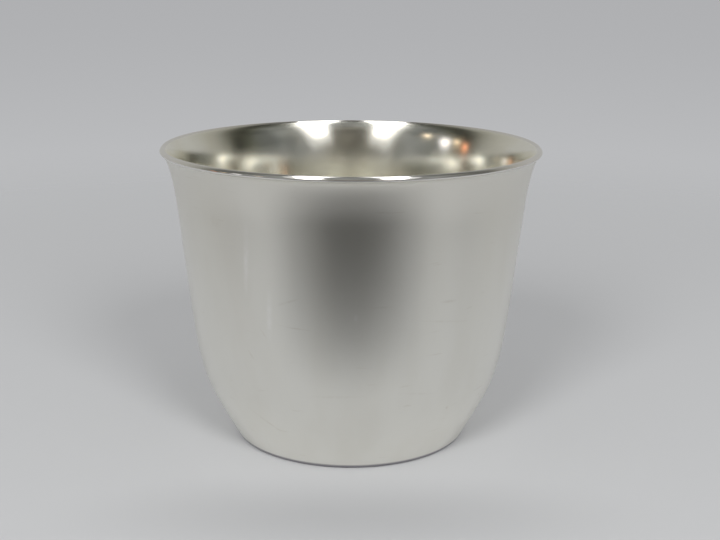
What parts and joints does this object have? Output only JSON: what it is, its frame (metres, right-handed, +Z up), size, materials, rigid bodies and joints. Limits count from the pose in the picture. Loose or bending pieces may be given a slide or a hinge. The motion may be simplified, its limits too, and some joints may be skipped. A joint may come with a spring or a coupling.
{
  "type": "drinking cup",
  "caption": "Footless silver drinking cup: tulip-shaped spun wall with a flared lip, a wire soldered round the rim and a slightly domed disc let into the foot.",
  "frame": {"origin": "centre of the flat ring that the cup stands on", "axes": "+Z up, along the cup's axis of turning"},
  "size_m": [0.08, 0.08, 0.0628],
  "materials": {
    "wall_silver": "spun silver, satin outside from handling and polished inside",
    "rim_silver": "polished silver wire",
    "base_silver": "silver disc with turning rings, satin",
    "silver_solder": "hard silver solder, slightly duller and warmer than the disc"
  },
  "bodies": {
    "root": {"cup_body": "wall_silver", "rim_wire": "rim_silver", "base_disc": "base_silver", "base_solder": "silver_solder"}
  },
  "joints": []
}
